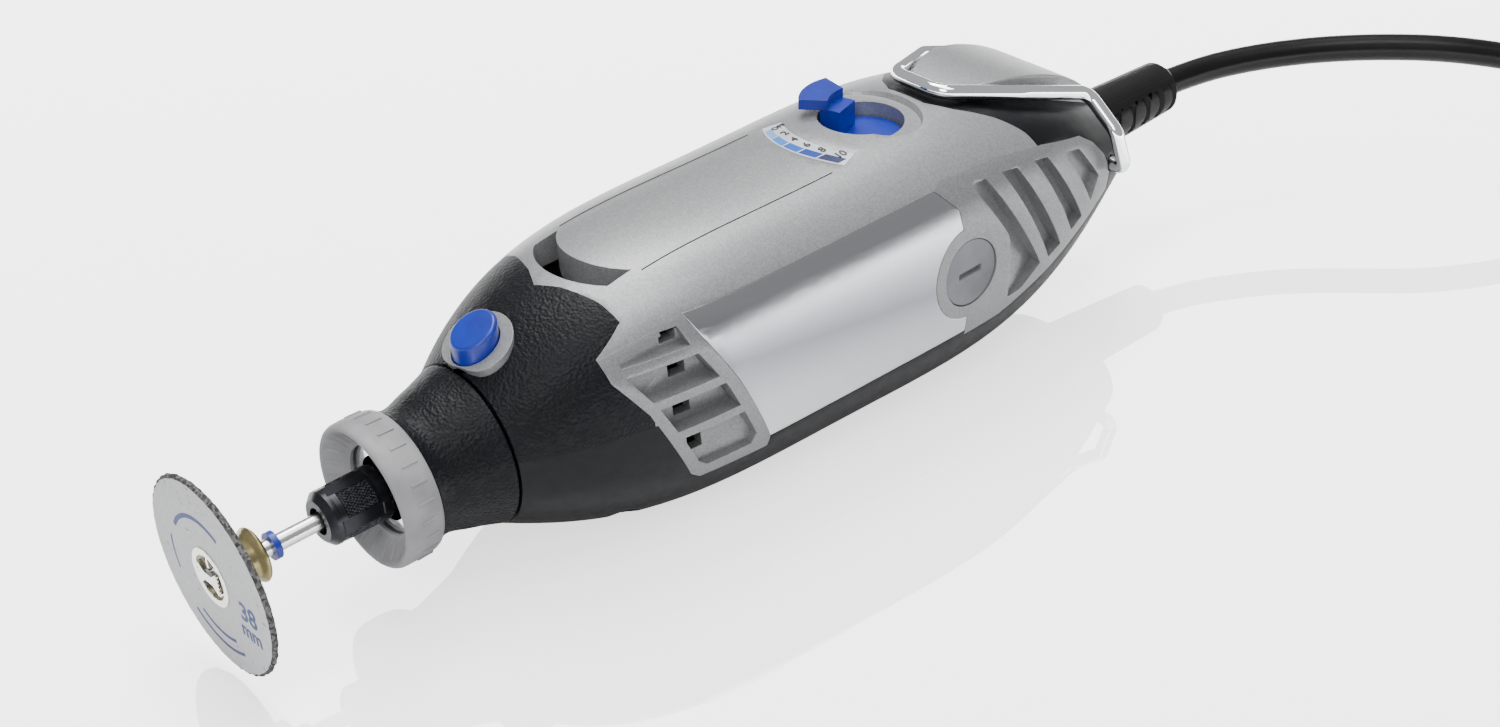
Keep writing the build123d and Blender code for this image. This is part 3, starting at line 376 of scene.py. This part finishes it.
def refined(node, look, bevel=0.0):
    """A smooth-shaded copy of a CAD node in its place, edges rounded over by bevel mm where it is given."""
    mesh = NODES[node].data.copy()
    mesh.name = node + "_look"
    work = bmesh.new()
    work.from_mesh(mesh)
    work.transform(NODES[node].matrix_world)
    bmesh.ops.remove_doubles(work, verts=work.verts, dist=WELD)
    bmesh.ops.dissolve_limit(work, angle_limit=FLAT_ENOUGH, verts=work.verts, edges=work.edges)
    work.to_mesh(mesh)
    work.free()
    mesh.shade_smooth()
    mesh.set_sharp_from_angle(angle=SHARP_EDGE)
    piece = add_piece(node + "_piece", mesh, look, body_of(node))
    if bevel:
        rounding = piece.modifiers.new("rounding", "BEVEL")
        rounding.width = bevel / 1000
        rounding.segments = 3
        rounding.limit_method = "ANGLE"
        rounding.angle_limit = ROUNDED_EDGE
        rounding.harden_normals = True
    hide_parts(node)
    return piece


# ---- cord ----------------------------------------------------------------------------------------
CORD_R = 3.0
CORD_EXIT = 243.2
COIL_CENTRE = (276.0, -43.5)
CORD_ROUTE = [
    (131.4, -1.4, 28.84), (142.7, -5.8, 29.5), (155.7, -13.4, 29.9), (167.7, -24.2, 30.3),
    (179.0, -37.0, 30.1), (191.5, -50.5, 27.2), (205.0, -63.0, 21.0), (220.5, -72.6, 13.0),
    (238.5, -78.4, 6.6), (257.5, -80.6, 4.0),
]
TURN_RADII = [39, 33, 27, 27, 33, 39, 39, 33]
TURN_LAYERS = [0, 0, 0, 1, 1, 1, 2, 2]
TURN_STEPS = 14
FIRST_ANGLE = -88.0
LAST_TURN = 0.70
EASE_FROM = 0.6
COIL_BASE = 3.6
LAYER_RISE = 6.0
PLUG_RISE = [(-31.4, -5.0, 18.6), (-28.0, -15.0, 22.4), (-20.5, -22.6, 24.5), (-11.8, -24.0, 24.6)]


def coil_points():
    """Control points of the coil's turns, then the rise to the plug."""
    points = []
    last = int(TURN_STEPS * LAST_TURN)
    for turn, (radius, layer) in enumerate(zip(TURN_RADII, TURN_LAYERS)):
        final = turn == len(TURN_RADII) - 1
        for step in range(last if final else TURN_STEPS):
            share = step / TURN_STEPS
            ease = max(0.0, (share - EASE_FROM) / (1 - EASE_FROM))
            after = turn + 1 if not final else turn
            reach = radius + (TURN_RADII[after] - radius) * ease
            level = layer + (TURN_LAYERS[after] - layer) * ease
            angle = math.radians(FIRST_ANGLE + 360 * share)
            # a control point stands a little outside the curve it draws
            reach *= 1 + (math.pi / TURN_STEPS) ** 2 / 2
            points.append((
                COIL_CENTRE[0] + reach * math.cos(angle), COIL_CENTRE[1] + reach * math.sin(angle),
                COIL_BASE + LAYER_RISE * level,
            ))
    return points + [(COIL_CENTRE[0] + x, COIL_CENTRE[1] + y, z) for x, y, z in PLUG_RISE]


def add_cord():
    start = at(CORD_EXIT, 0, 0)
    points = [tuple(start * 1000)] + CORD_ROUTE + coil_points()
    data = bpy.data.curves.new("mains_lead", "CURVE")
    data.dimensions = "3D"
    line = data.splines.new("NURBS")
    line.points.add(len(points) - 1)
    for control, point in zip(line.points, points):
        control.co = (*[c / 1000 for c in point], 1)
    line.order_u = 3
    line.use_endpoint_u = True
    line.resolution_u = 6
    data.bevel_depth = CORD_R / 1000
    data.bevel_resolution = 6
    data.use_fill_caps = True
    lead = bpy.data.objects.new("mains_lead", data)
    bpy.context.collection.objects.link(lead)
    data.materials.append(CORD_BLACK)
    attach(lead, "housing")
    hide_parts("mains_cord", "cord_coil")


add_cord()

for node, look in LOOKS.items():
    if node not in ("mains_cord", "cord_coil"):
        dress(NODES[node], look)

# ---- housing and small parts that keep the CAD shape, with rounded edges -------------------------
ROUNDED = {
    "upper_shell": 0.5, "lower_shell": 0.4, "grip_upper": 0.45, "tail_cap": 0.4, "tail_dome": 1.1,
    "vent_panel_left": 0.45, "vent_panel_right": 0.45, "rear_panel_left": 0.5,
    "rear_panel_right": 0.5, "nameplate_left": 0.25, "nameplate_right": 0.25, "button_bezel": 0.5,
    "nose_collar": 0.25, "speed_dial": 0.45, "brush_cap_left": 0.25, "brush_cap_right": 0.25,
    "strain_relief": 0.3, "lock_button": 0.3, "mains_plug": 1.0,
    "release_sleeve": 0.12, "disc_hub": 0.06, "cord_tie": 0.15, "cooling_fan": 0.1,
}
for node, width in ROUNDED.items():
    refined(node, LOOKS[node], width)
for node in ("hanger_bail", "nose_insert", "mandrel_ring", "rotor_shaft", "spindle", "collet",
             "armature_core", "armature_winding", "commutator", "stator_core", "field_coils",
             "housing_screws", "plug_pins", "front_bearing_balls", "rear_bearing_balls"):
    refined(node, LOOKS[node])

# Springs, smooth-shaded with a mesh of their own: node, joint, axis, fixed end in mm, share kept.
SPRINGS = [
    ("mandrel_spring", "sleeve_press", (1, 0, 0), (8.5, 0, 0), 0.64),
    ("lock_spring", "lock_press", (0, 0, 1), (57.6, 0, 9.5), 0.52),
    ("brush_spring_left", "brush_wear_left", (0, 1, 0), (153.5, -20.6, 2.5), 0.38),
    ("brush_spring_right", "brush_wear_right", (0, 1, 0), (153.5, 20.6, 2.5), 0.38),
]
for node, joint, axis, fixed, share in SPRINGS:
    spring = refined(node, STEEL)
    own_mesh(spring)


def mesh_from(name, work):
    mesh = bpy.data.meshes.new(name)
    work.normal_update()
    work.to_mesh(mesh)
    work.free()
    mesh.shade_smooth()
    mesh.set_sharp_from_angle(angle=math.radians(35))
    return mesh


def lathe(name, profile, steps, radius_of=None):
    """Mesh turned about the spindle from (x, radius) points; radius_of may vary the radius."""
    work = bmesh.new()
    rings = []
    for x, radius in profile:
        ring = []
        for step in range(steps):
            angle = 2 * math.pi * step / steps
            reach = radius_of(x, radius, angle) if radius_of else radius
            ring.append(work.verts.new(at(x, reach * math.cos(angle), reach * math.sin(angle))))
        rings.append(ring)
    for near, far in zip(rings, rings[1:] + rings[:1]):
        for step in range(steps):
            after = (step + 1) % steps
            work.faces.new((near[step], far[step], far[after], near[after]))
    bmesh.ops.recalc_face_normals(work, faces=work.faces)
    return mesh_from(name, work)


# ---- cutting disc --------------------------------------------------------------------------------
def add_disc():
    rng = random.Random(7)
    steps = 300
    ragged = [rng.uniform(-0.22, 0.0) + 0.1 * math.sin(step * 0.9) for step in range(steps)]
    back_bite = [rng.uniform(-0.9, 0.0) for _ in range(steps)]
    bore, face_edge, rim, rim_look_from = 5.2, 18.35, 18.85, 18.2

    def reach(x, radius, angle):
        step = int(round(angle / (2 * math.pi) * steps)) % steps
        if radius >= rim:
            return radius + ragged[step] + (back_bite[step] * 0.35 if x > 1.0 else 0.0)
        if radius >= face_edge:
            return radius + ragged[step] * 0.5
        return radius

    profile = [
        (0.0, bore), (0.0, 10.0), (0.0, face_edge), (0.12, face_edge + 0.25), (0.25, rim), (0.6, rim + 0.1),
        (1.05, rim), (1.22, face_edge), (1.3, 10.0), (1.3, bore),
    ]
    mesh = lathe("cutting_disc_look", profile, steps, reach)
    disc = add_piece("cutting_disc_piece", mesh, DISC, "disc")
    mesh.materials.append(RIM)
    for face in mesh.polygons:
        local = TOOL.inverted() @ face.center
        if math.hypot(local.y, local.z) > rim_look_from / 1000:
            face.material_index = 1
    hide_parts("cutting_disc")


def flat_ring_arc(name, radius, width, start, end, look):
    """A thin printed arc on the disc's front face, angles from the -y direction upward."""
    work = bmesh.new()
    steps = 40
    pairs = []
    for step in range(steps + 1):
        angle = math.radians(start + (end - start) * step / steps)
        pairs.append([
            work.verts.new(at(-0.03, -r * math.cos(angle), r * math.sin(angle)))
            for r in (radius - width / 2, radius + width / 2)
        ])
    for a, b in zip(pairs, pairs[1:]):
        work.faces.new((a[0], a[1], b[1], b[0]))
    add_piece(name, mesh_from(name, work), look, "disc")


def add_text(name, words, size, matrix, look, body, bold=0.0):
    curve = bpy.data.curves.new(name, "FONT")
    curve.body = words
    curve.size = size / 1000
    curve.align_x = "CENTER"
    curve.align_y = "CENTER"
    curve.offset = bold / 1000
    curve.extrude = 0.00002
    temp = bpy.data.objects.new(name + "_outline", curve)
    bpy.context.collection.objects.link(temp)
    bpy.context.view_layer.update()
    mesh = bpy.data.meshes.new_from_object(temp.evaluated_get(bpy.context.evaluated_depsgraph_get()))
    bpy.data.objects.remove(temp)
    mesh.name = name
    mesh.transform(matrix)
    return add_piece(name, mesh, look, body)


def on_disc(y, z):
    """Placing of a text on the disc's front face, read from the front."""
    spin = Matrix(((0, 0, -1), (-1, 0, 0), (0, 1, 0))).to_4x4()
    return TOOL @ Matrix.Translation((-0.00003, y / 1000, z / 1000)) @ spin


add_disc()
add_text("disc_size_number", "38", 5.4, on_disc(-11.2, -2.2), INK_BLUE, "disc", 0.12)
add_text("disc_size_unit", "mm", 4.2, on_disc(-11.0, -6.2), INK_BLUE, "disc", 0.1)
flat_ring_arc("disc_print_high", 11.5, 0.9, 148, 62, INK_BLUE)
flat_ring_arc("disc_print_low", 14.6, 0.7, 232, 296, INK_BLUE)
flat_ring_arc("disc_print_low_2", 12.2, 0.7, 238, 290, INK_BLUE)
flat_ring_arc("disc_print_side", 12.6, 0.5, 168, 200, INK_BLUE)


# ---- collet nut ----------------------------------------------------------------------------------
def add_nut():
    """Black nut with four flats and a diamond knurl between them."""
    outer, inset, flat_from_axis = 5.2, 0.05, 4.95
    band_start, band_end = 23.4, 31.4
    knurl_start, knurl_end, knurl_depth = 24.6, 30.6, 0.32
    around, along = 24, 3.4
    profile = [(22.4, 2.4), (21.2, 2.6), (21.2, 3.9), (21.6, 4.4), (22.4, 5.15), (23.2, outer)]
    rows = 56
    profile += [(band_start + (band_end - band_start) * k / rows, outer) for k in range(rows + 1)]
    profile += [(31.6, outer), (33.2, outer), (33.6, 4.7), (35.0, 4.7), (35.0, 4.0), (25.0, 4.0), (24.4, 3.3)]

    def reach(x, radius, angle):
        if radius != outer or not band_start <= x <= band_end:
            return radius
        turn = math.degrees(angle + math.pi / 4) % 90 - 45
        if abs(turn) < 17:
            return min(radius, flat_from_axis / math.cos(math.radians(turn)))
        if not knurl_start <= x <= knurl_end:
            return radius - inset
        rising = abs(math.sin(angle * around + x * along))
        falling = abs(math.sin(angle * around - x * along))
        return radius - knurl_depth + knurl_depth * min(rising, falling) ** 0.8

    mesh = lathe("collet_nut_look", profile, 420, reach)
    nut = add_piece("collet_nut_piece", mesh, NUT_BLACK, "nut")
    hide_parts("collet_nut")


add_nut()


# ---- nose cap ------------------------------------------------------------------------------------
RIM_RIBS = 24


def add_rib(number, middle):
    """One short rib on the cap's rim, from a ring of (x, radius, half its width in degrees)."""
    work = bmesh.new()
    pairs = []
    for x, radius, spread in (
        (36.9, 13.6, 1.3), (33.2, 13.7, 1.3), (33.5, 14.2, 0.8), (36.6, 14.12, 0.8),
    ):
        pair = []
        for side in (-1, 1):
            angle = middle + side * math.radians(spread)
            pair.append(work.verts.new(at(x, radius * math.cos(angle), radius * math.sin(angle))))
        pairs.append(pair)
    for near, far in zip(pairs, pairs[1:] + pairs[:1]):
        work.faces.new((near[0], near[1], far[1], far[0]))
    work.faces.new([pair[0] for pair in pairs])
    work.faces.new([pairs[k][1] for k in (0, 3, 2, 1)])
    bmesh.ops.recalc_face_normals(work, faces=work.faces)
    name = f"nose_cap_rib_{number}"
    add_piece(name, mesh_from(name, work), CAP_GREY, "cap")


def add_cap():
    """Dished ring with fine raised ticks round its face and short ribs round its rim."""
    profile = [
        (33.6, 8.7), (33.3, 9.4), (32.6, 10.4), (31.9, 11.4), (31.2, 12.1), (30.7, 12.5), (30.35, 12.8),
        (30.2, 13.1), (30.3, 13.4), (30.6, 13.7), (31.2, 13.95), (32.0, 14.0), (33.5, 14.0), (35.0, 13.95),
        (36.4, 13.85), (37.5, 13.7), (38.0, 13.5), (38.3, 13.2), (38.3, 9.4), (34.2, 9.4), (34.2, 8.7),
    ]

    def reach(x, radius, angle):
        if not 30.9 < x < 32.7 or not 10 < radius < 13.99:
            return radius
        tick = abs((math.degrees(angle) % 15) - 7.5) < 0.75
        return radius - 0.5 if tick and radius < 12.6 else radius

    mesh = lathe("nose_cap_look", profile, 360, reach)
    cap = add_piece("nose_cap_piece", mesh, CAP_GREY, "cap")
    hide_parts("nose_cap")
    for turn in range(RIM_RIBS):
        add_rib(turn, math.radians(360 / RIM_RIBS * turn))


add_cap()


# ---- mandrel with its toothed bow-tie head -------------------------------------------------------
def add_mandrel():
    work = bmesh.new()
    outline = []
    teeth, half = 5, 2.0
    for side in (1, -1):
        outline.append((side * 1.3, side * 0.95))
        outline.append((side * 2.8, side * 2.2))
        for tooth in range(teeth + 1):
            z = half - 2 * half * tooth / teeth
            outline.append((side * 3.5, side * z))
            if tooth < teeth:
                outline.append((side * 3.05, side * (z - half / teeth)))
        outline.append((side * 2.8, side * -2.2))
        outline.append((side * 1.3, side * -0.95))
    low = [work.verts.new(at(-0.6, y, z)) for y, z in outline]
    high = [work.verts.new(at(0.4, y, z)) for y, z in outline]
    work.faces.new(low)
    work.faces.new(list(reversed(high)))
    for k in range(len(outline)):
        after = (k + 1) % len(outline)
        work.faces.new((low[k], high[k], high[after], low[after]))
    bmesh.ops.recalc_face_normals(work, faces=work.faces)
    head = add_piece("mandrel_head", mesh_from("mandrel_head", work), NICKEL, "rotor")
    rounding = head.modifiers.new("rounding", "BEVEL")
    rounding.width = 0.00008
    rounding.segments = 2
    on_axis, shank_r = 0.0001, 1.5875
    profile = [(-0.2, on_axis), (-0.2, shank_r), (30.8, shank_r), (31.0, 1.35), (31.0, on_axis)]
    shank = lathe("mandrel_shank", profile, 64)
    pin = add_piece("mandrel_shank", shank, STEEL, "rotor")
    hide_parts("mandrel")


add_mandrel()


# ---- printed speed scale -------------------------------------------------------------------------
ARCH_END, ARCH_MIDDLE, ARCH_HALF = 136.4, 132.2, 11.8
ABOVE_TOOL, SHELL_TOP = 40, 27.5


def surface_of(node):
    """Ray-cast tree of a CAD node."""
    mesh = NODES[node].data
    verts = [NODES[node].matrix_world @ v.co for v in mesh.vertices]
    return BVHTree.FromPolygons(verts, [tuple(p.vertices) for p in mesh.polygons])


def drop(tree, x, y, lift):
    """The point on top of a surface under (x, y) of the tool, raised by lift mm."""
    down = TOOL.to_3x3() @ Vector((0, 0, -1))
    hit = tree.ray_cast(at(x, y, ABOVE_TOOL), down)[0]
    if hit is None:
        hit = at(x, y, SHELL_TOP)
    return hit - down * (lift / 1000)


def facing_up(tree, x, y, lift):
    """Placing of a text that lies on a surface and reads toward the tail."""
    here = drop(tree, x, y, lift)
    along = (drop(tree, x + 1, y, lift) - drop(tree, x - 1, y, lift)).normalized()
    sideways = (drop(tree, x, y + 1, lift) - drop(tree, x, y - 1, lift)).normalized()
    normal = along.cross(sideways).normalized()
    sideways = normal.cross(along)
    return Matrix.Translation(here) @ Matrix((along, sideways, normal)).transposed().to_4x4()


LABEL_TREE = surface_of("speed_label")
SHELL_TREE = surface_of("upper_shell")


def arch_x(y):
    """x on the label's arch, which runs from one end over its middle to the other end."""
    return ARCH_MIDDLE + (ARCH_END - ARCH_MIDDLE) * (y / ARCH_HALF) ** 2


def strip(name, y_from, y_to, front, back, look):
    """A printed bar that follows the label's arch from y_from to y_to."""
    work = bmesh.new()
    rows = []
    for step in range(9):
        y = y_from + (y_to - y_from) * step / 8
        row = []
        for k in range(4):
            x = arch_x(y) + front + (back - front) * k / 3
            row.append(work.verts.new(drop(LABEL_TREE, x, y, 0.03)))
        rows.append(row)
    for a, b in zip(rows, rows[1:]):
        for k in range(3):
            work.faces.new((a[k], a[k + 1], b[k + 1], b[k]))
    bmesh.ops.recalc_face_normals(work, faces=work.faces)
    add_piece(name, mesh_from(name, work), look, "housing")


BLUES = [
    (0.20, 0.38, 0.72), (0.05, 0.22, 0.66), (0.018, 0.12, 0.55), (0.006, 0.045, 0.36), (0.003, 0.012, 0.09),
]
for k, tint in enumerate(BLUES):
    y_from = 9.6 - 4.1 * k
    strip(f"scale_bar_{k}", y_from, y_from - 3.75, 0.45, 2.1 + 0.15 * k,
          print_ink(f"scale_blue_{k}", tint, 0.35))
for k, words in enumerate(("OFF", "2", "4", "6", "8", "10")):
    y = 8.9 - 3.55 * k
    spot = facing_up(LABEL_TREE, arch_x(y) + 3.75, y, 0.12)
    add_text(f"scale_mark_{k}", words, 2.5 if k else 1.9, spot, INK_DARK, "housing", 0.04)


def surface_line(name, tree, points, radius, look):
    """A fine line lying on a surface of the housing."""
    data = bpy.data.curves.new(name, "CURVE")
    data.dimensions = "3D"
    line = data.splines.new("POLY")
    line.points.add(len(points) - 1)
    for control, (x, y) in zip(line.points, points):
        control.co = (*drop(tree, x, y, 0.0), 1)
    data.bevel_depth = radius / 1000
    data.bevel_resolution = 1
    piece = bpy.data.objects.new(name, data)
    bpy.context.collection.objects.link(piece)
    data.materials.append(look)
    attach(piece, "housing")


# Charcoal lines laid along the top's two creases: painted shade in the folds
for side, word in ((-1, "left"), (1, "right")):
    crease = [(86.5 + 1.5 * k, side * 12.0) for k in range(32)]
    surface_line(f"top_crease_painted_shade_{word}", SHELL_TREE, crease, 0.12, CHARCOAL)


# ---- floor and light -----------------------------------------------------------------------------
FLOOR_HALF, FLOOR_DROP = 6, 0.0003
FLOOR_GLOW = 1.6
WORLD_LIGHT, WORLD_IN_MIRRORS = 0.5, 9.0


def add_floor():
    """A pale glossy floor that glows for the camera alone, so it adds no light to the tool."""
    look = Look("floor", (0.93, 0.93, 0.935), 0.0, IOR=1.9, Emission_Color=(1, 1, 1, 1))
    light_path = look.nodes.new("ShaderNodeLightPath")
    glow = look.span(light_path.outputs["Is Camera Ray"], 0.0, FLOOR_GLOW)
    look.link(glow, look.shader.inputs["Emission Strength"])
    mesh = bpy.data.meshes.new("floor")
    corners = [(x * FLOOR_HALF, y * FLOOR_HALF, -FLOOR_DROP) for x, y in ((-1, -1), (1, -1), (1, 1), (-1, 1))]
    mesh.from_pydata(corners, [], [(0, 1, 2, 3)])
    floor = bpy.data.objects.new("floor", mesh)
    bpy.context.collection.objects.link(floor)
    mesh.materials.append(look.mat)


def add_area(name, place, aim, size, size_y, power, color=(1, 1, 1)):
    data = bpy.data.lights.new(name, "AREA")
    data.shape = "RECTANGLE"
    data.size = size
    data.size_y = size_y
    data.energy = power
    data.color = color
    lamp = bpy.data.objects.new(name, data)
    lamp.location = place
    lamp.rotation_euler = (Vector(aim) - Vector(place)).to_track_quat("-Z", "Y").to_euler()
    bpy.context.collection.objects.link(lamp)


def add_world():
    """White surroundings, brighter where a sharp reflection looks at them than where they light the tool."""
    world = bpy.data.worlds.new("studio")
    world.use_nodes = True
    nodes, links = world.node_tree.nodes, world.node_tree.links
    background = nodes["Background"]
    background.inputs["Color"].default_value = (1, 1, 1, 1)
    strength = nodes.new("ShaderNodeMapRange")
    strength.inputs["To Min"].default_value = WORLD_LIGHT
    strength.inputs["To Max"].default_value = WORLD_IN_MIRRORS
    light_path = nodes.new("ShaderNodeLightPath")
    links.new(light_path.outputs["Is Singular Ray"], strength.inputs["Value"])
    links.new(strength.outputs["Result"], background.inputs["Strength"])
    bpy.context.scene.world = world


add_floor()
add_world()
add_area("overhead", (0.05, 0.0, 0.9), (0.02, 0, 0), 0.9, 0.35, 7)
add_area("left_key", (-0.55, -0.45, 0.65), (0, 0, 0.02), 0.35, 0.5, 4)
add_area("rim", (0.35, 0.4, 1.0), (0, 0, 0.02), 0.5, 0.3, 7)
